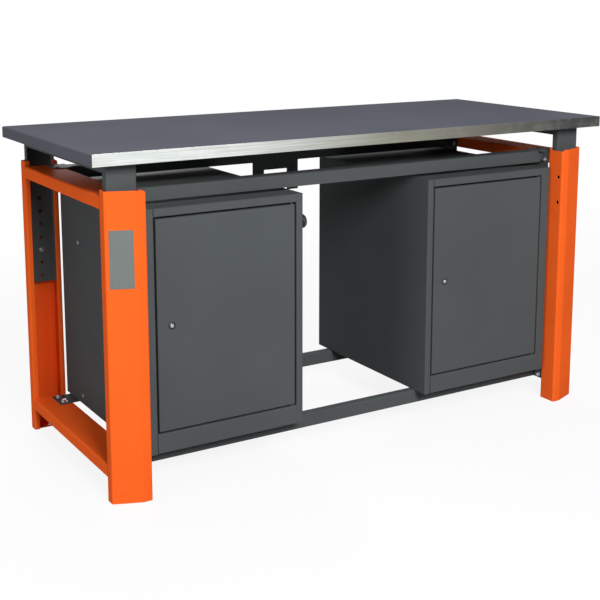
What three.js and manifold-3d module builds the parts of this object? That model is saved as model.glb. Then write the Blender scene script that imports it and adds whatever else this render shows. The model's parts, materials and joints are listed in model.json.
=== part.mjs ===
// Height-adjustable steel workbench with a door cabinet at each end.
// Millimetres. +X runs along the front to the right, +Y to the rear, +Z up.
// The origin is on the floor, under the middle of the worktop.
import * as THREE from 'three';
import { mergeVertices } from 'three/addons/utils/BufferGeometryUtils.js';
import Module from 'manifold-3d';

const wasm = await Module();
wasm.setup();

// Worktop
const TOP_LENGTH = 1600;
const TOP_DEPTH = 670;
const TOP_HEIGHT = 870;
const TOP_THICKNESS = 30;
const TOP_SHEET = 2;
const FRONT_OVERHANG = 10;

// Legs: folded sheet, open towards the middle of the bench
const LEG_SPAN = 1522;
const LEG_HEIGHT = 776;
const LEG_WIDTH = 96;
const LEG_DEPTH = 58;
const LEG_NOSE = 25;
const LEG_SLANT = 28;
const LEG_LIP = 15;
const LEG_SHEET = 2.5;
const LEG_SHOULDER_WIDTH = 9;
const LEG_SHOULDER_DROP = 5;
const LEG_HOLE_RADIUS = 5.5;
const LEG_HOLE_HEIGHTS = [618, 694];
const LEG_HOLE_SETBACK = 15;
const FOOT_PLATE = 4;
const FOOT_HOLE_RADIUS = 6;

// Uprights: channels that slide in the legs and carry the worktop
const UPRIGHT_SHEET = 3;
const UPRIGHT_INSET = 9;
const UPRIGHT_FRONT = 31;
const UPRIGHT_BACK = 54;
const UPRIGHT_BOTTOM = 426;
const HOLE_PITCH = 37;
const HOLE_COUNT = 7;
const HOLE_RADIUS = 4.5;
const FIRST_HOLE_RISE = 18;
const BEARER_HEIGHT = 24;

// End rails and long beams: folded channels, open downwards
const CHANNEL_SHEET = 2.5;
const RAIL_WIDTH = 88;
const TOP_RAIL = { bottom: 730, top: 762 };
const BOTTOM_RAIL = { bottom: 62, top: 92 };
const UPPER_BEAM = { depth: 44, spread: 430, drop: 0, tabReach: 32, plateDrop: 18 };
const LOWER_BEAM = { depth: 28, spread: 444, drop: 5, tabReach: 40, plateDrop: 0 };
const REAR_CUT_BACK = 52;
const TAB_ROOT = 18;
const TAB_WIDTH = 70;
const END_PLATE_WIDTH = 96;
const BRACKET = { middle: -10, width: 158, slot: 80, top: 755, slotTop: 706, bottom: 640, sheet: 3 };
const LABEL = { width: 58, height: 142, middle: 612, sheet: 1 };

// Cabinets, and the doors set flush in their fronts
const CABINET_INNER = 205;
const CABINET_OUTER = 658;
const CABINET_DEPTH = 567;
const CABINET_TOP = 720;
const CABINET_FRONT = -281;
const CABINET_SHEET = 1.5;
const INNER_STILE = 19.5;
const OUTER_STILE = 29.5;
const STILE_RETURN = 20;
const HEAD_RAIL = 22;
const PLINTH = 51;
const SHELF_RISE = 300;
const SHELF_THICKNESS = 18;
const SHELF_FRONT = 45;
const SHELF_ANGLE = 15;
const DOOR_GAP = 5;
const DOOR_THICKNESS = 18;
const HINGE_INSET = 8;
const HINGE_SETBACK = 5;
const PIN_RADIUS = 2.5;
const PIN_LENGTH = 22;
const PIN_SEATING = 12;
const LOCK_INSET = 39;
const LOCK = { flange: 10, flangeProud: 2, barrel: 8, plug: 5, depth: 24 };
const CAM = { width: 16, reach: 54, sheet: 2.5 };
const KEYWAY = { width: 1.4, height: 6.5, depth: 4 };
const KNOB = { head: 19, neck: 11, neckLength: 4, headLength: 17, setback: 25, rise: 546 };

// Clear gap kept between pieces that touch, and between a turning piece and its hole
const GAP = 0.3;
const ROUND_SIDES = 12;
const BEND_STEPS = 3;

// Finishes
const ORANGE_PAINT = { color: 0xf2661f, roughness: 0.42, metalness: 0 };
const GREY_PAINT = { color: 0x54585a, roughness: 0.5, metalness: 0 };
const TOP_STEEL = { color: 0x5d5e68, roughness: 0.45, metalness: 0 };
const BARE_METAL = { color: 0xc9cac2, roughness: 0.3, metalness: 1 };
const ZINC = { color: 0xb9bcc0, roughness: 0.35, metalness: 1 };
const DARK_NICKEL = { color: 0x3e4043, roughness: 0.35, metalness: 1 };
const PLAIN_LABEL = { color: 0x7d857f, roughness: 0.45, metalness: 0.2 };
const BLACK_PLASTIC = { color: 0x141416, roughness: 0.55, metalness: 0 };
const SEALED_BOARD = { color: 0x44423f, roughness: 0.8, metalness: 0 };

// Values worked out from the driving dimensions
const frameMiddle = FRONT_OVERHANG / 2;
const frameDepth = TOP_DEPTH - FRONT_OVERHANG;
const legInside = LEG_SPAN / 2 - LEG_WIDTH;
const topUnderside = TOP_HEIGHT - TOP_THICKNESS;
const cabinetBottom = BOTTOM_RAIL.top + CHANNEL_SHEET + 2 * GAP;
const cabinetHeight = CABINET_TOP - cabinetBottom;

const bench = new THREE.Group();

function addPiece(group, name, geometry, finish) {
  const mesh = new THREE.Mesh(geometry, new THREE.MeshStandardMaterial(finish));
  mesh.name = name;
  group.add(mesh);
  return mesh;
}

// Box from its low and high limits along X, Y and Z
function block([x0, x1], [y0, y1], [z0, z1]) {
  const box = new THREE.BoxGeometry(x1 - x0, y1 - y0, z1 - z0);
  return box.translate((x0 + x1) / 2, (y0 + y1) / 2, (z0 + z1) / 2);
}

// Round rod along 'x', 'y' or 'z', with its middle at the given point
function rod(radius, length, axis, middle, sides = ROUND_SIDES) {
  const cylinder = new THREE.CylinderGeometry(radius, radius, length, sides);
  if (axis === 'x') cylinder.rotateZ(Math.PI / 2);
  if (axis === 'z') cylinder.rotateX(Math.PI / 2);
  return cylinder.translate(...middle);
}

function toSolid(geometry) {
  const bare = geometry.clone();
  bare.deleteAttribute('normal');
  bare.deleteAttribute('uv');
  const merged = mergeVertices(bare);
  const vertProperties = Float32Array.from(merged.attributes.position.array);
  const triVerts = Uint32Array.from(merged.index.array);
  return new wasm.Manifold(new wasm.Mesh({ numProp: 3, vertProperties, triVerts }));
}

function toGeometry(solid) {
  const mesh = solid.getMesh();
  const geometry = new THREE.BufferGeometry();
  geometry.setAttribute('position', new THREE.BufferAttribute(mesh.vertProperties, 3));
  geometry.setIndex(new THREE.BufferAttribute(mesh.triVerts, 1));
  geometry.computeVertexNormals();
  return geometry;
}

function cut(base, ...tools) {
  return toGeometry(tools.reduce((solid, tool) => solid.subtract(toSolid(tool)), toSolid(base)));
}

function join(base, ...others) {
  return toGeometry(others.reduce((solid, other) => solid.add(toSolid(other)), toSolid(base)));
}

// Line beside an open line of points, to its left, with mitred corners
function besideLine(points, distance) {
  const steps = points.slice(1).map((point, i) => {
    const run = new THREE.Vector2(point[0] - points[i][0], point[1] - points[i][1]).normalize();
    return new THREE.Vector2(-run.y, run.x);
  });
  return points.map(([x, y], i) => {
    const before = steps[Math.max(i - 1, 0)];
    const after = steps[Math.min(i, steps.length - 1)];
    const reach = distance / (1 + before.dot(after));
    return [x + reach * (before.x + after.x), y + reach * (before.y + after.y)];
  });
}

// Line of points with its corners rounded, by one radius where it turns left and another right
function bendLine(points, leftRadius, rightRadius) {
  const heading = (from, to) => Math.atan2(to[1] - from[1], to[0] - from[0]);
  return points.flatMap((point, i) => {
    if (i === 0 || i === points.length - 1) return [point];
    const before = heading(points[i - 1], point);
    const difference = heading(point, points[i + 1]) - before;
    const turn = Math.atan2(Math.sin(difference), Math.cos(difference));
    const side = Math.sign(turn);
    const radius = turn > 0 ? leftRadius : rightRadius;
    const back = radius * Math.tan(Math.abs(turn) / 2);
    const centreX = point[0] - back * Math.cos(before) - side * radius * Math.sin(before);
    const centreY = point[1] - back * Math.sin(before) + side * radius * Math.cos(before);
    return Array.from({ length: BEND_STEPS + 1 }, (_, step) => {
      const angle = before + turn * step / BEND_STEPS;
      return [centreX + side * radius * Math.sin(angle), centreY - side * radius * Math.cos(angle)];
    });
  });
}

// Closed section of a sheet folded along a line of points, to the left of it if sheet is
// positive. Inside each bend the radius is the sheet's thickness.
function foldedSection(points, sheet) {
  const inner = Math.abs(sheet);
  const outer = 2 * inner;
  const [left, right] = sheet > 0 ? [outer, inner] : [inner, outer];
  return [...bendLine(points, left, right), ...bendLine(besideLine(points, sheet), right, left).reverse()];
}

function outline(points) {
  return new THREE.Shape(points.map(([x, y]) => new THREE.Vector2(x, y)));
}

// Upright prism: a section in X and Y, from one height to another
function prismAlongZ(points, low, high) {
  const settings = { depth: high - low, bevelEnabled: false };
  return new THREE.ExtrudeGeometry(outline(points), settings).translate(0, 0, low);
}

// Prism along Y: a section in X and Z
function prismAlongY(points, low, high) {
  const settings = { depth: high - low, bevelEnabled: false };
  const prism = new THREE.ExtrudeGeometry(outline(points), settings);
  return prism.rotateX(Math.PI / 2).translate(0, high, 0);
}

// Prism along X: a section in Y and Z
function prismAlongX(points, low, high) {
  const settings = { depth: high - low, bevelEnabled: false };
  const prism = new THREE.ExtrudeGeometry(outline(points), settings);
  return prism.rotateY(Math.PI / 2).rotateX(Math.PI / 2).translate(low, 0, 0);
}

// Rectangular block with its four upper edges rounded and its top face at zero
function roundedBlock(length, width, height, radius) {
  const rectangle = outline([
    [-length / 2, -width / 2], [length / 2, -width / 2], [length / 2, width / 2], [-length / 2, width / 2],
  ]);
  const rounded = new THREE.ExtrudeGeometry(rectangle, {
    depth: height, bevelThickness: radius, bevelSize: radius, bevelOffset: -radius, bevelSegments: BEND_STEPS,
  });
  return rounded.translate(0, 0, -height - radius);
}

// Sheet pan: its face up at zero and its four sides folded down
function pan(length, width, height, sheet) {
  const below = block([-length, length], [-width, width], [-4 * height, -height]);
  const hollow = roundedBlock(length - 2 * sheet, width - 2 * sheet, 2 * height, sheet);
  return cut(roundedBlock(length, width, 2 * height, 2 * sheet), hollow.translate(0, 0, -sheet), below);
}

// Turned piece: radius and height pairs round a closed or axis-to-axis profile
function turned(profile, sides = ROUND_SIDES) {
  return new THREE.LatheGeometry(profile.map(([r, h]) => new THREE.Vector2(r, h)), sides);
}

// Corner of the bench: side is -1 left or 1 right, end is -1 front or 1 rear.
// u runs outwards from the leg's inner face, v from its outermost face to the bench's middle.
function cornerPoint(side, end, [u, v]) {
  return [side * (legInside + u), frameMiddle + end * (frameDepth / 2 - v)];
}

const CORNERS = [
  { name: 'front_left', side: -1, end: -1 },
  { name: 'front_right', side: 1, end: -1 },
  { name: 'rear_left', side: -1, end: 1 },
  { name: 'rear_right', side: 1, end: 1 },
];
const SIDES = [
  { name: 'left', side: -1 },
  { name: 'right', side: 1 },
];
const ENDS = [
  { name: 'front', end: -1 },
  { name: 'rear', end: 1 },
];

const legLine = [
  [LEG_LIP, LEG_DEPTH],
  [0, LEG_DEPTH],
  [0, 0],
  [LEG_NOSE, 0],
  [LEG_WIDTH, LEG_SLANT],
  [LEG_WIDTH, LEG_DEPTH],
  [LEG_WIDTH - LEG_LIP, LEG_DEPTH],
];

// Depth, at a distance u from the inner face, of a face parallel to the leg's slanted face
function slantDepth(u, inset) {
  const slope = LEG_SLANT / (LEG_WIDTH - LEG_NOSE);
  return (u - LEG_NOSE) * slope + inset * Math.hypot(1, slope);
}

function makeLeg({ name, side, end }) {
  const section = foldedSection(legLine, LEG_SHEET).map((point) => cornerPoint(side, end, point));
  const shoulder = [
    [-1, LEG_HEIGHT + 1],
    [-1, LEG_HEIGHT - LEG_SHOULDER_DROP],
    [LEG_SHEET, LEG_HEIGHT - LEG_SHOULDER_DROP],
    [LEG_SHOULDER_WIDTH, LEG_HEIGHT],
    [LEG_SHOULDER_WIDTH, LEG_HEIGHT + 1],
  ].map(([u, z]) => [side * (legInside + u), z]);
  const holeY = frameMiddle + end * (frameDepth / 2 - LEG_HOLE_SETBACK);
  const holes = LEG_HOLE_HEIGHTS.map((z) => (
    rod(LEG_HOLE_RADIUS, 4 * LEG_SHEET, 'x', [side * legInside, holeY, z])
  ));
  const farEdge = TOP_DEPTH / 2 + 1;
  const body = prismAlongZ(section, 0, LEG_HEIGHT);
  const shape = cut(body, prismAlongY(shoulder, -farEdge, farEdge), ...holes);
  addPiece(bench, `leg_${name}`, shape, ORANGE_PAINT);
}

function makeFootPlate({ name, side, end }) {
  const seat = LEG_DEPTH - 2 * LEG_SHEET - GAP;
  const rim = [[0, seat], [0, 0], [LEG_NOSE, 0], [LEG_WIDTH, LEG_SLANT], [LEG_WIDTH, seat]];
  const corner = LEG_SHEET - GAP;
  const plate = bendLine(besideLine(rim, LEG_SHEET + GAP), corner, corner)
    .map((point) => cornerPoint(side, end, point));
  const [holeX, holeY] = cornerPoint(side, end, [LEG_WIDTH / 2, (seat + LEG_SLANT) / 2]);
  const hole = rod(FOOT_HOLE_RADIUS, 4 * FOOT_PLATE, 'z', [holeX, holeY, 0]);
  addPiece(bench, `foot_plate_${name}`, cut(prismAlongZ(plate, 0, FOOT_PLATE), hole), ORANGE_PAINT);
}

function makeUpright({ name, side, end }) {
  const outer = LEG_WIDTH - UPRIGHT_INSET;
  const line = [
    [UPRIGHT_INSET, UPRIGHT_BACK],
    [UPRIGHT_INSET, UPRIGHT_FRONT],
    [outer, UPRIGHT_FRONT],
    [outer, UPRIGHT_BACK],
  ];
  const section = foldedSection(line, UPRIGHT_SHEET).map((point) => cornerPoint(side, end, point));
  const [holeX, holeY] = cornerPoint(side, end, [LEG_WIDTH / 2, UPRIGHT_FRONT]);
  const holes = Array.from({ length: HOLE_COUNT }, (_, i) => {
    const z = UPRIGHT_BOTTOM + FIRST_HOLE_RISE + i * HOLE_PITCH;
    return rod(HOLE_RADIUS, 8 * UPRIGHT_SHEET, 'y', [holeX, holeY, z]);
  });
  const body = prismAlongZ(section, UPRIGHT_BOTTOM, topUnderside - GAP);
  addPiece(bench, `upright_${name}`, cut(body, ...holes), GREY_PAINT);
}

// Bearer under the worktop, between the open edges of a pair of uprights
function makeBearer({ name, side }) {
  const inner = side * (legInside + UPRIGHT_INSET);
  const outer = side * (legInside + LEG_WIDTH - UPRIGHT_INSET);
  const high = topUnderside - GAP;
  const line = [[inner, high - BEARER_HEIGHT], [inner, high], [outer, high], [outer, high - BEARER_HEIGHT]];
  const halfLength = frameDepth / 2 - UPRIGHT_BACK - GAP;
  const section = foldedSection(line, -side * CHANNEL_SHEET);
  const shape = prismAlongY(section, frameMiddle - halfLength, frameMiddle + halfLength);
  addPiece(bench, `bearer_${name}`, shape, GREY_PAINT);
}

// End rail between a front and a rear leg
function makeRail(name, side, { bottom, top }) {
  const outer = side * LEG_SPAN / 2;
  const inner = side * (LEG_SPAN / 2 - RAIL_WIDTH);
  const section = foldedSection([[inner, bottom], [inner, top], [outer, top], [outer, bottom]],
    -side * CHANNEL_SHEET);
  const halfLength = frameDepth / 2 - LEG_DEPTH - GAP;
  const shape = prismAlongY(section, frameMiddle - halfLength, frameMiddle + halfLength);
  addPiece(bench, name, shape, ORANGE_PAINT);
}

// Long beam between the end rails, with flat tabs that lie on the rails. Its folded channel either
// ends in upright plates against the rails, or is cut back from them by some distance.
function makeBeam(name, end, rail, { depth, spread, drop, tabReach, plateDrop }, cutBack) {
  const middle = frameMiddle + end * spread / 2;
  const front = middle - depth / 2;
  const rear = middle + depth / 2;
  const bottom = rail.bottom - drop;
  const top = rail.top + GAP + CHANNEL_SHEET;
  const section = foldedSection([[front, bottom], [front, top], [rear, top], [rear, bottom]], -CHANNEL_SHEET);
  const railFace = LEG_SPAN / 2 - RAIL_WIDTH - GAP;
  const halfLength = railFace - cutBack;
  const across = (side, from, to, width, heights) => block([side * from, side * to].sort((a, b) => a - b),
    [middle - width / 2, middle + width / 2], heights);
  const tabs = [-1, 1].map((side) => (
    across(side, halfLength - TAB_ROOT, railFace + tabReach, TAB_WIDTH, [top - CHANNEL_SHEET, top])
  ));
  const plates = [-1, 1].filter(() => cutBack === 0).map((side) => (
    across(side, halfLength - CHANNEL_SHEET, halfLength, END_PLATE_WIDTH, [bottom - plateDrop, top])
  ));
  addPiece(bench, name, join(prismAlongX(section, -halfLength, halfLength), ...tabs, ...plates), GREY_PAINT);
}

// Bracket shaped like an upside-down U, on the front of the rear upper beam
function makeRearBracket() {
  const { middle, width, slot, top, slotTop, bottom, sheet } = BRACKET;
  const shape = outline([
    [-width / 2, bottom], [-slot / 2, bottom], [-slot / 2, slotTop], [slot / 2, slotTop],
    [slot / 2, bottom], [width / 2, bottom], [width / 2, top], [-width / 2, top],
  ]);
  const plate = new THREE.ExtrudeGeometry(shape, { depth: sheet, bevelEnabled: false });
  const face = frameMiddle + UPPER_BEAM.spread / 2 - UPPER_BEAM.depth / 2 - GAP;
  const mesh = addPiece(bench, 'rear_centre_bracket', plate.rotateX(Math.PI / 2), GREY_PAINT);
  mesh.position.set(middle, face, 0);
}

// Bare plate on the slanted face of the left front leg
function makeLabelPlate() {
  const { width, height, middle, sheet } = LABEL;
  const u = (LEG_NOSE + LEG_WIDTH) / 2;
  const [x, y] = cornerPoint(-1, -1, [u, slantDepth(u, -GAP - sheet / 2)]);
  const mesh = addPiece(bench, 'label_plate', new THREE.BoxGeometry(width, sheet, height), PLAIN_LABEL);
  mesh.position.set(x, y, middle);
  mesh.rotation.z = -Math.atan2(LEG_SLANT, LEG_WIDTH - LEG_NOSE);
}

function makeWorktop() {
  const halfLength = TOP_LENGTH / 2;
  const rear = TOP_DEPTH / 2;
  const stripBack = -rear + TOP_SHEET - GAP;
  const coverFront = -rear + TOP_SHEET;
  const inside = TOP_SHEET + GAP;
  const board = block([-halfLength + inside, halfLength - inside], [coverFront + GAP, rear - inside],
    [topUnderside, TOP_HEIGHT - 2 * TOP_SHEET]);
  const wholePan = pan(TOP_LENGTH, TOP_DEPTH, TOP_THICKNESS, TOP_SHEET).translate(0, 0, TOP_HEIGHT);
  const openFront = block([-TOP_LENGTH, TOP_LENGTH], [-TOP_DEPTH, coverFront], [0, 2 * TOP_HEIGHT]);
  const cover = cut(wholePan, openFront);
  const strip = block([-halfLength, halfLength], [-rear, stripBack], [topUnderside, TOP_HEIGHT]);
  addPiece(bench, 'worktop_board', board, SEALED_BOARD);
  addPiece(bench, 'worktop_cover', cover, TOP_STEEL);
  addPiece(bench, 'worktop_front_strip', strip, BARE_METAL);
}

// Cabinet pieces are placed from the bottom of the cabinet's front, under the door's middle.
// walls holds the places of the left and right walls' outer faces.
const openingHalf = (CABINET_OUTER - OUTER_STILE - CABINET_INNER - INNER_STILE) / 2;
const openingMiddle = CABINET_INNER + INNER_STILE + openingHalf;
const sideHeight = cabinetHeight - CABINET_SHEET - GAP;

// Side panel, folded at the front into a stile and its return
function makeCabinetSide(group, prefix, { name, side }, wall) {
  const line = [
    [wall, CABINET_DEPTH],
    [wall, 0],
    [side * openingHalf, 0],
    [side * openingHalf, STILE_RETURN],
  ];
  const shape = prismAlongZ(foldedSection(line, -side * CABINET_SHEET), 0, sideHeight);
  addPiece(group, `${prefix}_${name}_side`, shape, GREY_PAINT);
}

function makeCabinetShell(group, prefix, [left, right]) {
  const inside = [left + CABINET_SHEET + GAP, right - CABINET_SHEET - GAP];
  const innerBack = CABINET_DEPTH - CABINET_SHEET;
  const railHalf = openingHalf - GAP;
  const opening = cabinetHeight - HEAD_RAIL;
  const [pinX, pinY] = [openingHalf - DOOR_GAP - HINGE_INSET, HINGE_SETBACK];
  const pinHole = (z) => rod(PIN_RADIUS + 2 * GAP, 4 * CABINET_SHEET, 'z', [pinX, pinY, z]);
  const headLine = [[0, sideHeight], [0, opening], [STILE_RETURN, opening]];
  const plinthLine = [[STILE_RETURN, 0], [0, 0], [0, PLINTH], [STILE_RETURN, PLINTH]];
  const head = prismAlongX(foldedSection(headLine, CABINET_SHEET), -railHalf, railHalf);
  const plinth = prismAlongX(foldedSection(plinthLine, -CABINET_SHEET), -railHalf, railHalf);
  const back = block(inside, [innerBack, CABINET_DEPTH], [0, sideHeight]);
  const floor = block(inside, [STILE_RETURN + GAP, innerBack - GAP], [0, CABINET_SHEET]);
  const lid = block([left, right], [0, CABINET_DEPTH], [cabinetHeight - CABINET_SHEET, cabinetHeight]);
  addPiece(group, `${prefix}_head_rail`, cut(head, pinHole(opening)), GREY_PAINT);
  addPiece(group, `${prefix}_plinth`, cut(plinth, pinHole(PLINTH)), GREY_PAINT);
  addPiece(group, `${prefix}_back`, back, GREY_PAINT);
  addPiece(group, `${prefix}_floor`, floor, GREY_PAINT);
  addPiece(group, `${prefix}_lid`, lid, GREY_PAINT);
}

// Shelf tray and the two angles that it rests on
function makeShelf(group, prefix, walls) {
  const [left, right] = walls;
  const length = right - left - 2 * (CABINET_SHEET + 2 * GAP);
  const back = CABINET_DEPTH - CABINET_SHEET - 2 * GAP;
  const tray = pan(length, back - SHELF_FRONT, SHELF_THICKNESS, CABINET_SHEET);
  const shelf = addPiece(group, `${prefix}_shelf`, tray, GREY_PAINT);
  shelf.position.set((left + right) / 2, (SHELF_FRONT + back) / 2, SHELF_RISE + SHELF_THICKNESS);
  const seat = SHELF_RISE - GAP;
  SIDES.forEach(({ name, side }, i) => {
    const edge = walls[i] - side * (CABINET_SHEET + GAP);
    const line = [[edge, seat - SHELF_ANGLE], [edge, seat], [edge - side * SHELF_ANGLE, seat]];
    const shape = prismAlongY(foldedSection(line, side * CABINET_SHEET), SHELF_FRONT + SHELF_ANGLE,
      back - SHELF_ANGLE);
    addPiece(group, `${prefix}_shelf_angle_${name}`, shape, GREY_PAINT);
  });
}

const doorHalf = openingHalf - DOOR_GAP;
const doorLow = PLINTH + DOOR_GAP;
const doorHigh = cabinetHeight - HEAD_RAIL - DOOR_GAP;
const hingeX = doorHalf - HINGE_INSET;
const lockX = -doorHalf + LOCK_INSET;
const lockZ = (doorLow + doorHigh) / 2;

// Door pan with a hat-section stiffener behind its face, hinged on the right
function makeDoor(group, prefix) {
  const panel = pan(2 * doorHalf, doorHigh - doorLow, DOOR_THICKNESS, CABINET_SHEET)
    .rotateX(Math.PI / 2).translate(0, 0, lockZ);
  const pinHoles = [doorLow, doorHigh].map((z) => (
    rod(PIN_RADIUS + GAP + 0.1, 4 * CABINET_SHEET, 'z', [hingeX, HINGE_SETBACK, z])
  ));
  const lockHole = rod(LOCK.barrel + 2 * GAP, 4 * CABINET_SHEET, 'y', [lockX, 0, lockZ], 20);
  addPiece(group, `${prefix}_door_panel`, cut(panel, ...pinHoles, lockHole), GREY_PAINT);

  const face = CABINET_SHEET + GAP;
  const crest = DOOR_THICKNESS - CABINET_SHEET;
  const hat = [[-45, face], [-25, face], [-25, crest], [25, crest], [25, face], [45, face]];
  const endGap = 2 * CABINET_SHEET + GAP;
  const stiffener = prismAlongZ(foldedSection(hat, CABINET_SHEET), doorLow + endGap, doorHigh - endGap);
  addPiece(group, `${prefix}_door_stiffener`, stiffener, GREY_PAINT);

  const pinOffset = PIN_LENGTH / 2 - PIN_SEATING;
  const upperPin = rod(PIN_RADIUS, PIN_LENGTH, 'z', [hingeX, HINGE_SETBACK, doorHigh + pinOffset]);
  const lowerPin = rod(PIN_RADIUS, PIN_LENGTH, 'z', [hingeX, HINGE_SETBACK, doorLow - pinOffset]);
  addPiece(group, `${prefix}_hinge_pin_upper`, upperPin, GREY_PAINT);
  addPiece(group, `${prefix}_hinge_pin_lower`, lowerPin, GREY_PAINT);
}

// Cam lock: a flanged barrel fixed in the door, and a plug that turns in it with a cam.
// The cam hangs down when unlocked and turns behind the left stile to lock.
function makeLock(group, prefix) {
  const { flange, flangeProud, barrel, plug, depth } = LOCK;
  const bore = plug + GAP + 0.1;
  const barrelProfile = [
    [bore, -flangeProud], [flange, -flangeProud], [flange, -GAP], [barrel, -GAP],
    [barrel, depth], [bore, depth], [bore, -flangeProud],
  ];
  const barrelMesh = addPiece(group, `${prefix}_lock_barrel`, turned(barrelProfile, 20), DARK_NICKEL);
  barrelMesh.position.set(lockX, 0, lockZ);

  const camStart = depth + GAP;
  const front = -flangeProud + 1;
  const stem = rod(plug, camStart + CAM.sheet - front, 'y', [0, (front + camStart + CAM.sheet) / 2, 0]);
  const arm = block([-CAM.width / 2, CAM.width / 2], [camStart, camStart + CAM.sheet],
    [-CAM.reach, CAM.width / 2]);
  const keyway = block([-KEYWAY.width / 2, KEYWAY.width / 2], [front - 1, front + KEYWAY.depth],
    [-KEYWAY.height / 2, KEYWAY.height / 2]);
  const camMesh = addPiece(group, `${prefix}_lock_cam`, cut(join(stem, arm), keyway), ZINC);
  camMesh.position.set(lockX, 0, lockZ);
}

function makeCabinet({ name, side }) {
  const group = new THREE.Group();
  group.position.set(side * openingMiddle, CABINET_FRONT, cabinetBottom);
  const prefix = `${name}_cabinet`;
  const walls = [CABINET_INNER, CABINET_OUTER].map((wall) => side * (wall - openingMiddle));
  walls.sort((a, b) => a - b);
  SIDES.forEach((panel, i) => makeCabinetSide(group, prefix, panel, walls[i]));
  makeCabinetShell(group, prefix, walls);
  makeShelf(group, prefix, walls);
  makeDoor(group, name);
  makeLock(group, name);
  bench.add(group);
  return group;
}

// Round mushroom knob on the left cabinet's wall that faces the knee space
function makeSideKnob(cabinet) {
  const { head, neck, neckLength, headLength, setback, rise } = KNOB;
  const length = neckLength + headLength;
  const edge = headLength / 3;
  const crown = new THREE.QuadraticBezierCurve(
    new THREE.Vector2(head, length - edge), new THREE.Vector2(head, length), new THREE.Vector2(0, length));
  const profile = [
    [0, 0], [neck, 0], [neck, neckLength], [head, neckLength + edge / 2],
    ...crown.getPoints(4).map((point) => [Math.max(point.x, 0), point.y]),
  ];
  const mesh = addPiece(cabinet, 'side_knob', turned(profile, 20), BLACK_PLASTIC);
  mesh.rotation.z = -Math.PI / 2;
  mesh.position.set(openingMiddle - CABINET_INNER + GAP, setback, rise);
}

makeWorktop();
CORNERS.forEach(makeLeg);
CORNERS.forEach(makeFootPlate);
CORNERS.forEach(makeUpright);
SIDES.forEach(makeBearer);
for (const { name, side } of SIDES) {
  makeRail(`top_rail_${name}`, side, TOP_RAIL);
  makeRail(`bottom_rail_${name}`, side, BOTTOM_RAIL);
}
for (const { name, end } of ENDS) {
  makeBeam(`upper_beam_${name}`, end, TOP_RAIL, UPPER_BEAM, 0);
  makeBeam(`lower_beam_${name}`, end, BOTTOM_RAIL, LOWER_BEAM, end > 0 ? REAR_CUT_BACK : 0);
}
makeRearBracket();
makeLabelPlate();
const [leftCabinet] = SIDES.map(makeCabinet);
makeSideKnob(leftCabinet);

export default bench;
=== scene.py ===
"""Looks of a height-adjustable steel workbench with a door cabinet at each end.

Lengths are in metres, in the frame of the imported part: +X along the front to the right,
+Y to the rear, +Z up, with the origin on the floor under the middle of the worktop.
"""
import itertools
import json
import math

import bmesh
import bpy
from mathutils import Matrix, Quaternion, Vector


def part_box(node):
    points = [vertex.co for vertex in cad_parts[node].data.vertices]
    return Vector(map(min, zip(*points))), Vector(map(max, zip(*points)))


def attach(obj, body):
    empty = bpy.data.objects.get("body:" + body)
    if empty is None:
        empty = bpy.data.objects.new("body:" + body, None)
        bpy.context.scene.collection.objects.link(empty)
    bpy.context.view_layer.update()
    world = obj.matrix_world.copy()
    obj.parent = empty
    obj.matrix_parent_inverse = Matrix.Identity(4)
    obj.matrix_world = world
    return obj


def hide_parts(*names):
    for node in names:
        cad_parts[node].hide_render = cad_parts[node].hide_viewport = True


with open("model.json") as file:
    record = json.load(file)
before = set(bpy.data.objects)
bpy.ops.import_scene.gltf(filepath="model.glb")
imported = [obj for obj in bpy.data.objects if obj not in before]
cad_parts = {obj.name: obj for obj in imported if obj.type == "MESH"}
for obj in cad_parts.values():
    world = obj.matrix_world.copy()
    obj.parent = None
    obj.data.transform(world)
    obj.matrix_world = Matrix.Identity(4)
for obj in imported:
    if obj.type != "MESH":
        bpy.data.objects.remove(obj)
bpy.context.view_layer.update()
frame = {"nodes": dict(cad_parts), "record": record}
nodes = frame["nodes"]
body_of_node = {
    node: body
    for body, names in frame["record"]["behaviour"]["bodies"].items()
    for node in names
}
slot_of_node = {row["node"]: row["material_slot"] for row in frame["record"]["subparts"]}

MM = 0.001

# Camera of the photograph
CAMERA_PLACE = (-1.7479, -2.7896, 1.2309)
CAMERA_TURN = math.radians(31.438)
CAMERA_DIP = math.radians(10.082)
CAMERA_LENS = 69.15
CAMERA_SENSOR = 36.0
CAMERA_SHIFT_Y = -0.17

# Floor: its own glow near the bench, the distances over which that rises to white,
# the grey that it throws back at the bench, and the colour that is seen
FLOOR_DROP = 0.3 * MM
FLOOR_SIZE = 60.0
FLOOR_GLOW = 0.885
FLOOR_FADE = (1.6, 4.5)
FLOOR_BOUNCE = (0.4, 0.4, 0.4)
FLOOR_SEEN = (0.95, 0.95, 0.95)

# Soft light of the sky, and the parts of the way to the rear and to the top over which it grows
FRONT_SKY = 0.09
REAR_SKY = 0.42
REAR_SKY_SPAN = (0.1, 1.0)
TOP_SKY = 0.26
TOP_SKY_SPAN = (0.4, 1.0)

# Lamps: degrees to the left of the front, degrees of rise, distance, size and power
LAMPS = {
    "key_light": (12, 29, 4.6, 1.6, 190.0),
    "left_light": (76, 10, 6.0, 2.0, 74.0),
    "rear_light": (190, 24, 5.0, 2.0, 92.0),
}
LAMP_TARGET = (0.0, 0.0, 0.5)

# Finishes: the part of a noise that clouds run over, and how well the rounded facing matches
# the flat one where edge wear and the painted edge highlight start and where they are full
CLOUD_SPAN = (0.3, 0.7)
EDGE_MATCH = (0.98, 0.75)
EDGE_SAMPLES = 4

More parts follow.
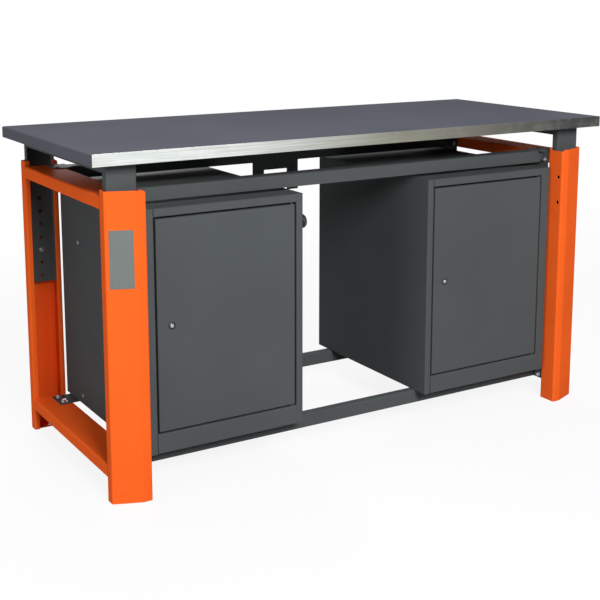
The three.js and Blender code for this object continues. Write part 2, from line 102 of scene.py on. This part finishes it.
# Rounding of the raw sheet edges, by the start of the node's name
EDGE_ROUNDING = {
    "leg": 0.7 * MM,
    "foot_plate": 0.8 * MM,
    "upright": 0.8 * MM,
    "bearer": 0.7 * MM,
    "top_rail": 0.7 * MM,
    "bottom_rail": 0.7 * MM,
    "upper_beam": 0.7 * MM,
    "lower_beam": 0.7 * MM,
    "rear_centre_bracket": 0.8 * MM,
    "label_plate": 0.3 * MM,
    "worktop_board": 1.0 * MM,
    "worktop": 0.5 * MM,
    "left": 0.4 * MM,
    "right": 0.4 * MM,
}
ROUNDED_EDGE_ANGLE = math.radians(50)
ROUNDING_STEPS = 2
FLAT_ANGLE = math.radians(0.5)
SHEET_MERGE = 0.01 * MM

# Screws and bolts in the beams' end tabs: from the bench's middle, and to each side of
# the beam's middle
TAB_BOLT_REACH = {"upper": 694 * MM, "lower": 697 * MM}
TAB_BOLT_SPREAD = 21 * MM

# Bolts through the end plates of the beams that have them: their heights, by the beam
PLATE_FACE = 670.2 * MM
PLATE_BOLT_SPREAD = 34 * MM
PLATE_BOLT_HEIGHTS = {
    "upper_beam_front": 740 * MM,
    "upper_beam_rear": 740 * MM,
    "lower_beam_front": 71 * MM,
}

# Bolts that hold the uprights at a height: across from the bench's middle, to the front and
# rear of the frame's middle, and up
HEIGHT_BOLT_PLACE = (713 * MM, 296 * MM, 518 * MM)
FRAME_MIDDLE = 5 * MM

# Screws in the cabinet walls that face the bench's ends: depth and height
SCREW_PLACES = ((158 * MM, 120 * MM), (158 * MM, 559 * MM))

# Heads of the bolts and screws
HEX_BOLT = {
    "Sides": 6,
    "Head Radius": 7.5 * MM,
    "Head Height": 5 * MM,
    "Crown Share": 0.86,
    "Washer Radius": 9 * MM,
    "Washer Height": 1.6 * MM,
}
HEIGHT_BOLT = {
    **HEX_BOLT,
    "Head Radius": 6 * MM,
    "Washer Radius": 6.6 * MM,
    "Washer Height": 1 * MM,
}
PAN_SCREW = {
    "Sides": 20,
    "Head Radius": 4.5 * MM,
    "Head Height": 1.6 * MM,
    "Crown Share": 0.6,
    "Washer Radius": 6 * MM,
    "Washer Height": 0.8 * MM,
}
WASHER_SIDES = 28
CROWN_RISE = 0.2

# Turned pieces
TURN_STEPS = 48
TURN_MERGE = 0.005 * MM
TURN_SHARP_ANGLE = math.radians(40)

# Lock barrel: the cone of its flange is in shares of the flange's radius and thickness
LOCK_BORE = 5.4 * MM
LOCK_BORE_CHAMFER = 0.4 * MM
LOCK_BARREL = 8 * MM
LOCK_FLANGE = 1.7 * MM
LOCK_CONE = ((0.84, 0.8), (0.97, 0.88), (1, 0.94), (1, 1))

# Side knob from its foot to its crown, in shares of its radius and length
KNOB_OUTLINE = (
    (0, 0), (0.58, 0), (0.58, 0.17), (0.72, 0.19), (0.9, 0.22),
    (0.97, 0.28), (1, 0.36), (1, 0.5), (0.985, 0.6), (0.93, 0.72),
    (0.83, 0.83), (0.68, 0.91), (0.48, 0.965), (0.24, 0.993), (0, 1),
)


class Wire:
    """A node's socket that Python sums can be written with."""

    def __init__(self, tree, socket):
        self.tree = tree
        self.socket = socket

    @property
    def maker(self):
        """The node that the socket belongs to."""
        return self.socket.node

    def _sum(self, operation, first, second):
        return self.tree.node("ShaderNodeMath", {"operation": operation}, {0: first, 1: second})

    def __add__(self, other):
        return self._sum("ADD", self, other)

    def __radd__(self, other):
        return self._sum("ADD", other, self)

    def __rsub__(self, other):
        return self._sum("SUBTRACT", other, self)

    def __mul__(self, other):
        return self._sum("MULTIPLY", self, other)

    def __rmul__(self, other):
        return self._sum("MULTIPLY", other, self)


class Tree:
    """A node tree whose nodes are each made by one call."""

    def __init__(self, tree):
        self.tree = tree

    def node(self, kind, settings=None, values=None, output=0):
        """A new node with its settings and its sockets' values or links, given as one output."""
        node = self.tree.nodes.new(kind)
        for name, value in (settings or {}).items():
            setattr(node, name, value)
        for key, value in (values or {}).items():
            self.feed(node.inputs[key], value)
        return Wire(self, node.outputs[output])

    def feed(self, socket, value):
        """Link a wire to a socket, or set a constant on it."""
        if isinstance(value, Wire):
            self.tree.links.new(value.socket, socket)
        elif socket.type == "RGBA" and len(value) == 3:
            socket.default_value = (*value, 1.0)
        else:
            socket.default_value = value

    def ramp(self, value, low, high, start=0.0, end=1.0):
        """Value as it goes from low to high, spread smoothly from start to end."""
        return self.node(
            "ShaderNodeMapRange",
            {"interpolation_type": "SMOOTHSTEP"},
            {0: value, 1: low, 2: high, 3: start, 4: end},
        )

    def blend(self, share, first, second):
        """First colour where the share is 0, second where it is 1."""
        settings = {"data_type": "RGBA"}
        return self.node("ShaderNodeMix", settings, {0: share, 6: first, 7: second}, output=2)


class Finish(Tree):
    """A material with one Principled shader, built from wires."""

    def __init__(self, name, **constants):
        self.material = bpy.data.materials.new(name)
        self.material.use_nodes = True
        super().__init__(self.material.node_tree)
        self.shader = self.tree.nodes["Principled BSDF"]
        self.set(**constants)
        self.place = self.node("ShaderNodeTexCoord", output="Object")

    def set(self, **sockets):
        """Feed sockets of the shader, by their names with underscores for spaces."""
        for name, value in sockets.items():
            self.feed(self.shader.inputs[name.replace("_", " ")], value)

    def noise(self, scale, detail=2.0, stretch=(1, 1, 1)):
        place = self.place
        if stretch != (1, 1, 1):
            place = self.node("ShaderNodeMapping", None, {"Vector": place, "Scale": stretch})
        values = {"Vector": place, "Scale": scale, "Detail": detail}
        return self.node("ShaderNodeTexNoise", None, values)

    def cells(self, scale):
        """A tone from 0 to 1 for each small cell of the surface."""
        values = {"Vector": self.place, "Scale": scale}
        colours = self.node("ShaderNodeTexVoronoi", None, values, output="Color")
        return self.node("ShaderNodeSeparateColor", None, {0: colours})

    def along(self, axis):
        """Distance from the bench's origin along X, Y or Z."""
        return self.node("ShaderNodeSeparateXYZ", None, {0: self.place}, output=axis)

    def edges(self, radius):
        """1 along sharp edges, fading to 0 within the radius."""
        rounded = self.node("ShaderNodeBevel", {"samples": EDGE_SAMPLES}, {"Radius": radius})
        flat = self.node("ShaderNodeNewGeometry", output="Normal")
        settings = {"operation": "DOT_PRODUCT"}
        match = self.node("ShaderNodeVectorMath", settings, {0: rounded, 1: flat}, output="Value")
        return self.ramp(match, *EDGE_MATCH)

    def clouded(self, colour, cloud, darker, lighter):
        """A colour that drifts between a darker and a lighter shade of itself."""
        share = self.ramp(cloud, *CLOUD_SPAN)
        return self.blend(share, shade(colour, darker), shade(colour, lighter))

    def bump(self, height, depth, strength):
        values = {"Height": height, "Distance": depth, "Strength": strength}
        self.set(Normal=self.node("ShaderNodeBump", None, values))


def shade(colour, factor):
    return tuple(min(1.0, part * factor) for part in colour)


def make_orange_paint():
    """Satin powder coat with a soft orange peel, lighter on its edges from wear and a painted
    highlight, and scuffed near the floor.
    """
    colour = (0.96, 0.136, 0.02)
    edge_wear_and_highlight = (0.97, 0.22, 0.05)
    scuffed = (0.25, 0.06, 0.02)
    finish = Finish("orange_paint", Specular_IOR_Level=0.002)
    cloud = finish.noise(scale=4.0)
    peel = finish.noise(scale=420.0, detail=1.0)
    edge = finish.edges(1.6 * MM)
    near_floor = finish.ramp(finish.along("Z"), 0.07, 0.0)
    scuff = finish.ramp(finish.noise(scale=90.0, detail=4.0), 0.55, 0.7) * near_floor
    paint = finish.clouded(colour, cloud, 0.95, 1.04)
    # Lighter orange on the edges: partly edge wear, partly a painted highlight.
    paint = finish.blend(edge * 0.2, paint, edge_wear_and_highlight)
    paint = finish.blend(scuff * 0.2, paint, scuffed)
    finish.set(Base_Color=paint, Roughness=0.38 + 0.1 * cloud + 0.2 * scuff)
    finish.bump(peel, depth=0.12 * MM, strength=0.5)
    return finish.material


def make_grey_paint():
    """Fine-textured matt powder coat, paler on its edges from wear and a painted highlight."""
    colour = (0.08, 0.088, 0.091)
    finish = Finish("grey_paint", Specular_IOR_Level=0.01)
    cloud = finish.noise(scale=3.0)
    grain = finish.noise(scale=900.0)
    edge = finish.edges(1.4 * MM)
    paint = finish.clouded(colour, cloud, 0.95, 1.05)
    paint = finish.blend(finish.ramp(grain, 0.35, 0.75) * 0.2, paint, shade(colour, 1.4))
    # Paler edges: partly edge wear, partly a painted highlight.
    paint = finish.blend(edge * 0.4, paint, shade(colour, 2.0))
    finish.set(Base_Color=paint, Roughness=0.45 + 0.1 * cloud)
    finish.bump(grain, depth=0.1 * MM, strength=0.5)
    return finish.material


def make_top_steel():
    """Slate-grey coated sheet with faint rubbing along its length."""
    colour = (0.138, 0.143, 0.173)
    finish = Finish("top_steel", Specular_IOR_Level=0.001)
    cloud = finish.noise(scale=2.2)
    rub = finish.noise(scale=30.0, detail=3.0, stretch=(0.08, 1, 1))
    grain = finish.noise(scale=700.0, detail=1.0)
    edge = finish.edges(1.6 * MM)
    sheet = finish.clouded(colour, cloud, 0.94, 1.06)
    sheet = finish.blend(finish.ramp(rub, 0.5, 0.8) * 0.2, sheet, shade(colour, 1.25))
    # Paler edges: partly edge wear, partly a painted highlight.
    sheet = finish.blend(edge * 0.35, sheet, shade(colour, 1.8))
    finish.set(Base_Color=sheet, Roughness=0.7 + 0.14 * rub)
    finish.bump(grain, depth=0.05 * MM, strength=0.4)
    return finish.material


def make_bare_metal():
    """Bare strip, brushed along its length, with a painted reflection: a light glare at the left end
    that fades darker to the right.
    """
    glare_painted = (0.77, 0.81, 0.79)
    warm_glare_painted = (0.31, 0.31, 0.25)
    dark_reflection_painted = (0.058, 0.059, 0.06)
    brushed = (0.16, 0.16, 0.15)
    mottled = (0.4, 0.4, 0.37)
    finish = Finish("bare_metal", Metallic=1.0)
    streak = finish.noise(scale=260.0, detail=3.0, stretch=(0.02, 1, 1))
    mottle = finish.noise(scale=24.0, detail=4.0)
    length = finish.along("X")
    # Painted reflection along X: glare colours at the left end, a dark reflection to the right.
    metal = finish.blend(finish.ramp(length, -0.5, 0.1), glare_painted, warm_glare_painted)
    metal = finish.blend(finish.ramp(length, -0.1, 0.75), metal, dark_reflection_painted)
    metal = finish.blend(finish.ramp(streak, 0.35, 0.65) * 0.3, metal, brushed)
    metal = finish.blend(finish.ramp(mottle, 0.45, 0.7) * 0.15, metal, mottled)
    finish.set(Base_Color=metal, Roughness=0.3 + 0.16 * streak)
    finish.bump(streak, depth=0.04 * MM, strength=0.4)
    return finish.material


def make_zinc():
    """Bright zinc plating with a fine spangle."""
    finish = Finish("zinc", Metallic=1.0)
    spangle = finish.cells(scale=900.0)
    metal = finish.blend(spangle, (0.5, 0.51, 0.53), (0.66, 0.67, 0.69))
    finish.set(Base_Color=metal, Roughness=0.26 + 0.14 * spangle)
    return finish.material


def make_dark_nickel():
    """Dark nickel plating, finely clouded."""
    finish = Finish("dark_nickel", Metallic=1.0)
    cloud = finish.noise(scale=900.0)
    metal = finish.blend(cloud, (0.04, 0.041, 0.044), (0.06, 0.062, 0.066))
    finish.set(Base_Color=metal, Roughness=0.24 + 0.14 * cloud)
    return finish.material


def make_plain_label():
    """Bare grey plate with a faint upright brushing and pale edges, partly wear and partly a painted
    highlight.
    """
    finish = Finish("plain_label", Metallic=0.3)
    brush = finish.noise(scale=600.0, stretch=(1, 1, 0.03))
    edge = finish.edges(0.8 * MM)
    plate = finish.blend(brush, (0.13, 0.15, 0.14), (0.18, 0.2, 0.19))
    # Pale edges: partly edge wear, partly a painted highlight.
    plate = finish.blend(edge * 0.5, plate, (0.4, 0.42, 0.4))
    finish.set(Base_Color=plate, Roughness=0.36 + 0.14 * brush)
    finish.bump(brush, depth=0.03 * MM, strength=0.3)
    return finish.material


def make_black_plastic():
    """Moulded black plastic with a fine pebble."""
    finish = Finish("black_plastic", Specular_IOR_Level=0.4)
    pebble = finish.noise(scale=1500.0, detail=1.0)
    plastic = finish.blend(pebble, (0.008, 0.008, 0.009), (0.018, 0.018, 0.02))
    finish.set(Base_Color=plastic, Roughness=0.4 + 0.2 * pebble)
    finish.bump(pebble, depth=0.06 * MM, strength=0.4)
    return finish.material


def make_board():
    """Pressed board with a dark sealed face that shows its chips faintly."""
    finish = Finish("board", Specular_IOR_Level=0.2)
    chips = finish.cells(scale=260.0)
    fibre = finish.noise(scale=700.0, detail=3.0, stretch=(1, 0.2, 1))
    ground = finish.blend(chips, (0.045, 0.042, 0.039), (0.065, 0.062, 0.058))
    ground = finish.blend(fibre * 0.4, ground, (0.08, 0.076, 0.07))
    finish.set(Base_Color=ground, Roughness=0.75 + 0.15 * chips)
    finish.bump(chips, depth=0.15 * MM, strength=0.5)
    return finish.material


finishes = {
    "orange_paint": make_orange_paint(),
    "grey_paint": make_grey_paint(),
    "top_steel": make_top_steel(),
    "bare_metal": make_bare_metal(),
    "zinc": make_zinc(),
    "dark_nickel": make_dark_nickel(),
    "plain_label": make_plain_label(),
    "black_plastic": make_black_plastic(),
    "board": make_board(),
}


def plain_mesh(name, source):
    """The evaluated shape of an object, as a new mesh with no modifiers."""
    depsgraph = bpy.context.evaluated_depsgraph_get()
    mesh = bpy.data.meshes.new_from_object(source.evaluated_get(depsgraph), depsgraph=depsgraph)
    mesh.name = name
    return mesh


def show(name, mesh, slot, body):
    """A finished piece: at the origin, with its finish, riding on a body."""
    piece = bpy.data.objects.new(name, mesh)
    bpy.context.collection.objects.link(piece)
    mesh.materials.clear()
    mesh.materials.append(finishes[slot])
    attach(piece, body)
    return piece


def edge_rounding(node):
    return next(width for start, width in EDGE_ROUNDING.items() if node.startswith(start))


def soften(node):
    """Copy of a CAD node with its raw edges rounded and its bends shaded smooth."""
    mesh = nodes[node].data.copy()
    shape = bmesh.new()
    shape.from_mesh(mesh)
    bmesh.ops.remove_doubles(shape, verts=shape.verts, dist=SHEET_MERGE)
    bmesh.ops.dissolve_limit(shape, angle_limit=FLAT_ANGLE, verts=shape.verts, edges=shape.edges)
    for face in shape.faces:
        face.smooth = True
    shape.to_mesh(mesh)
    shape.free()
    work = bpy.data.objects.new("work", mesh)
    bpy.context.collection.objects.link(work)
    bevel = work.modifiers.new("raw_edges", "BEVEL")
    bevel.width = edge_rounding(node)
    bevel.segments = ROUNDING_STEPS
    bevel.limit_method = "ANGLE"
    bevel.angle_limit = ROUNDED_EDGE_ANGLE
    bevel.harden_normals = True
    work.modifiers.new("even_faces", "WEIGHTED_NORMAL").keep_sharp = True
    piece = show("soft_" + node, plain_mesh(node, work), slot_of_node[node], body_of_node[node])
    bpy.data.objects.remove(work)
    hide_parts(node)


def make_head_tree():
    """Bolt heads on washers at the points of a mesh, each along its point's own facing."""
    group = bpy.data.node_groups.new("bolt_heads", "GeometryNodeTree")
    group.interface.new_socket("Heads", in_out="OUTPUT", socket_type="NodeSocketGeometry")
    group.interface.new_socket("Places", in_out="INPUT", socket_type="NodeSocketGeometry")
    group.interface.new_socket("Finish", in_out="INPUT", socket_type="NodeSocketMaterial")
    for name, size in HEX_BOLT.items():
        kind = "NodeSocketInt" if isinstance(size, int) else "NodeSocketFloat"
        group.interface.new_socket(name, in_out="INPUT", socket_type=kind)
    tree = Tree(group)
    inputs = group.nodes.new("NodeGroupInput")
    given = {socket.name: Wire(tree, socket) for socket in inputs.outputs if socket.name}

    def lifted(shape, height):
        rise = tree.node("ShaderNodeCombineXYZ", None, {"Z": height})
        return tree.node("GeometryNodeTransform", None, {"Geometry": shape, "Translation": rise})

    def disc(sides, radius, height):
        values = {"Vertices": sides, "Radius": radius, "Depth": height}
        return tree.node("GeometryNodeMeshCylinder", None, values)

    def top_of(shape):
        return Wire(tree, shape.maker.outputs["Top"])

    washer_height = given["Washer Height"]
    head_height = given["Head Height"]
    washer = lifted(disc(WASHER_SIDES, given["Washer Radius"], washer_height), washer_height * 0.5)
    head = disc(given["Sides"], given["Head Radius"], head_height)
    raised = tree.node(
        "GeometryNodeExtrudeMesh",
        None,
        {"Mesh": head, "Selection": top_of(head), "Offset Scale": head_height * CROWN_RISE},
    )
    crowned = tree.node(
        "GeometryNodeScaleElements",
        None,
        {"Geometry": raised, "Selection": top_of(raised), "Scale": given["Crown Share"]},
    )
    seated = lifted(crowned, head_height * 0.5 + washer_height)
    bolt = tree.node("GeometryNodeJoinGeometry", None, {0: seated})
    tree.feed(bolt.maker.inputs[0], washer)
    facing = tree.node(
        "GeometryNodeInputNamedAttribute", {"data_type": "FLOAT_VECTOR"}, {"Name": "facing"}
    )
    turn = tree.node("FunctionNodeAlignRotationToVector", {"axis": "Z"}, {"Vector": facing})
    copies = tree.node(
        "GeometryNodeInstanceOnPoints",
        None,
        {"Points": given["Places"], "Instance": bolt, "Rotation": turn},
    )
    solid = tree.node("GeometryNodeRealizeInstances", None, {"Geometry": copies})
    values = {"Geometry": solid, "Material": given["Finish"]}
    coated = tree.node("GeometryNodeSetMaterial", None, values)
    tree.feed(group.nodes.new("NodeGroupOutput").inputs["Heads"], coated)
    return group


def add_heads(name, body, slot, sizes, places):
    """Heads of one kind on one body: each place is a point and the way that its head faces."""
    points = bpy.data.meshes.new(name)
    points.from_pydata([point for point, _ in places], [], [])
    facing = points.attributes.new("facing", "FLOAT_VECTOR", "POINT")
    facing.data.foreach_set("vector", [part for _, way in places for part in way])
    work = bpy.data.objects.new("work", points)
    bpy.context.collection.objects.link(work)
    heads = work.modifiers.new("heads", "NODES")
    heads.node_group = head_tree
    values = {"Finish": finishes[slot], **sizes}
    for item in head_tree.interface.items_tree:
        if item.name in values:
            heads[item.identifier] = values[item.name]
    show(name, plain_mesh(name, work), slot, body)
    bpy.data.objects.remove(work)


def add_beam_bolts():
    """Painted screws in the upper beams' tabs, and bolts in the lower tabs and the end plates."""
    up = (0, 0, 1)
    tabs = {"upper": [], "lower": []}
    plates = []
    for level, end in itertools.product(("upper", "lower"), ("front", "rear")):
        beam = f"{level}_beam_{end}"
        low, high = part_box(beam)
        middle = (low[1] + high[1]) / 2
        for side, spread in itertools.product((-1, 1), (-1, 1)):
            y = middle + spread * TAB_BOLT_SPREAD
            tabs[level].append(((side * TAB_BOLT_REACH[level], y, high[2]), up))
            if beam in PLATE_BOLT_HEIGHTS:
                y = middle + spread * PLATE_BOLT_SPREAD
                plates.append(((side * PLATE_FACE, y, PLATE_BOLT_HEIGHTS[beam]), (-side, 0, 0)))
    add_heads("tab_screws", "frame", "grey_paint", PAN_SCREW, tabs["upper"])
    add_heads("beam_bolts", "frame", "zinc", HEX_BOLT, tabs["lower"] + plates)


def add_height_bolts():
    """One bolt in each upright, facing the middle of its end of the bench."""
    across, back, height = HEIGHT_BOLT_PLACE
    places = [
        ((side * across, FRAME_MIDDLE + end * back, height), (0, -end, 0))
        for side, end in itertools.product((-1, 1), (-1, 1))
    ]
    add_heads("height_bolts", "worktop", "zinc", HEIGHT_BOLT, places)


def add_cabinet_screws():
    """Two screws in the outer wall of each cabinet."""
    places = []
    for name, side in (("left", -1), ("right", 1)):
        low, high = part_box(f"{name}_cabinet_{name}_side")
        wall = low[0] if side < 0 else high[0]
        places += [((wall, y, z), (side, 0, 0)) for y, z in SCREW_PLACES]
    add_heads("cabinet_screws", "frame", "zinc", PAN_SCREW, places)


def turn_piece(node, profile, centre, axis):
    """Turned piece in a node's place: radius and reach pairs along an axis from a centre."""
    across = axis.orthogonal().normalized()
    step = 2 * math.pi / TURN_STEPS
    spokes = [Quaternion(axis, step * count) @ across for count in range(TURN_STEPS)]
    points = [centre + spoke * radius + axis * reach for radius, reach in profile for spoke in spokes]
    faces = []
    for ring, count in itertools.product(range(len(profile) - 1), range(TURN_STEPS)):
        following = (count + 1) % TURN_STEPS
        near = ring * TURN_STEPS
        far = near + TURN_STEPS
        faces.append((near + count, near + following, far + following, far + count))
    mesh = bpy.data.meshes.new("turned_" + node)
    mesh.from_pydata(points, [], faces)
    shape = bmesh.new()
    shape.from_mesh(mesh)
    bmesh.ops.remove_doubles(shape, verts=shape.verts, dist=TURN_MERGE)
    bmesh.ops.recalc_face_normals(shape, faces=shape.faces)
    for face in shape.faces:
        face.smooth = True
    shape.to_mesh(mesh)
    shape.free()
    mesh.set_sharp_from_angle(angle=TURN_SHARP_ANGLE)
    piece = show("turned_" + node, mesh, slot_of_node[node], body_of_node[node])
    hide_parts(node)


def turn_lock_barrel(node):
    """Round lock barrel with a bore for its plug and a coned flange on the door's face."""
    low, high = map(Vector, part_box(node))
    flange = (high.x - low.x) / 2
    depth = high.y - low.y
    profile = [
        (LOCK_BORE, LOCK_BORE_CHAMFER),
        (LOCK_BORE + LOCK_BORE_CHAMFER, 0),
        *((radius * flange, reach * LOCK_FLANGE) for radius, reach in LOCK_CONE),
        (LOCK_BARREL, LOCK_FLANGE),
        (LOCK_BARREL, depth),
        (LOCK_BORE, depth),
        (LOCK_BORE, LOCK_BORE_CHAMFER),
    ]
    centre = Vector(((low.x + high.x) / 2, low.y, (low.z + high.z) / 2))
    turn_piece(node, profile, centre, Vector((0, 1, 0)))


def turn_side_knob(node):
    """Round knob with a neck and a domed crown."""
    low, high = map(Vector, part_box(node))
    head = (high.y - low.y) / 2
    length = high.x - low.x
    profile = [(head * radius, length * reach) for radius, reach in KNOB_OUTLINE]
    centre = Vector((low.x, (low.y + high.y) / 2, (low.z + high.z) / 2))
    turn_piece(node, profile, centre, Vector((1, 0, 0)))


def make_floor():
    """White floor that keeps the bench's shadow."""
    floor_mesh = bpy.data.meshes.new("floor")
    half = FLOOR_SIZE / 2
    corners = [(-half, -half), (half, -half), (half, half), (-half, half)]
    floor_mesh.from_pydata([(x, y, -FLOOR_DROP) for x, y in corners], [], [(0, 1, 2, 3)])
    floor = bpy.data.objects.new("floor", floor_mesh)
    bpy.context.collection.objects.link(floor)
    finish = Finish("pale_floor", Roughness=0.8, Specular_IOR_Level=0.1)
    seen = finish.node("ShaderNodeLightPath", output="Is Camera Ray")
    mirrored = finish.node("ShaderNodeLightPath", output="Is Glossy Ray")
    finish.set(Base_Color=finish.blend(seen, FLOOR_BOUNCE, FLOOR_SEEN))
    settings = {"operation": "LENGTH"}
    away = finish.node("ShaderNodeVectorMath", settings, {0: finish.place}, output="Value")
    share = (seen + mirrored) * finish.ramp(away, *FLOOR_FADE, FLOOR_GLOW, 1.0)
    glow = finish.node("ShaderNodeEmission", None, {"Color": (1, 1, 1), "Strength": 1.0})
    lit = Wire(finish, finish.shader.outputs[0])
    mixed = finish.node("ShaderNodeMixShader", None, {0: share, 1: lit, 2: glow})
    finish.feed(finish.tree.nodes["Material Output"].inputs["Surface"], mixed)
    floor_mesh.materials.append(finish.material)


def make_sky():
    """White where it is seen or mirrored, and a soft light from the rear and above elsewhere."""
    world = bpy.data.worlds.new("studio")
    bpy.context.scene.world = world
    world.use_nodes = True
    sky = Tree(world.node_tree)
    path = sky.node("ShaderNodeLightPath").maker
    seen = Wire(sky, path.outputs["Is Camera Ray"])
    for name in ("Is Glossy Ray", "Is Transmission Ray"):
        ray = Wire(sky, path.outputs[name])
        seen = sky.node("ShaderNodeMath", {"operation": "MAXIMUM"}, {0: seen, 1: ray})
    way = sky.node("ShaderNodeTexCoord", output="Generated")
    facing = sky.node("ShaderNodeSeparateXYZ", None, {0: way}).maker
    rearward = Wire(sky, facing.outputs["Y"])
    upward = Wire(sky, facing.outputs["Z"])
    soft = sky.ramp(rearward, *REAR_SKY_SPAN, FRONT_SKY, REAR_SKY)
    soft = soft + sky.ramp(upward, *TOP_SKY_SPAN, 0.0, TOP_SKY)
    background = world.node_tree.nodes["Background"]
    sky.feed(background.inputs["Color"], (1, 1, 1))
    sky.feed(background.inputs["Strength"], seen + (1 - seen) * soft)


def make_lamps():
    for name, (turn, rise, distance, size, power) in LAMPS.items():
        turn = math.radians(turn)
        rise = math.radians(rise)
        level = math.cos(rise)
        way = Vector((-math.sin(turn) * level, -math.cos(turn) * level, math.sin(rise)))
        lamp = bpy.data.lights.new(name, "AREA")
        lamp.size = size
        lamp.energy = power
        holder = bpy.data.objects.new(name, lamp)
        holder.location = Vector(LAMP_TARGET) + way * distance
        holder.rotation_euler = (-way).to_track_quat("-Z", "Y").to_euler()
        bpy.context.collection.objects.link(holder)


def make_camera():
    data = bpy.data.cameras.new("photo_camera")
    data.sensor_width = CAMERA_SENSOR
    data.sensor_fit = "HORIZONTAL"
    data.lens = CAMERA_LENS
    data.shift_y = CAMERA_SHIFT_Y
    camera = bpy.data.objects.new("photo_camera", data)
    camera.location = CAMERA_PLACE
    camera.rotation_euler = (math.pi / 2 - CAMERA_DIP, 0.0, -CAMERA_TURN)
    bpy.context.collection.objects.link(camera)
    bpy.context.scene.camera = camera


make_camera()
make_floor()
make_sky()
make_lamps()
bpy.context.scene.view_settings.view_transform = "Standard"
for node in list(nodes):
    if node.endswith("_lock_barrel"):
        turn_lock_barrel(node)
    elif node == "side_knob":
        turn_side_knob(node)
    else:
        soften(node)
head_tree = make_head_tree()
add_beam_bolts()
add_height_bolts()
add_cabinet_screws()
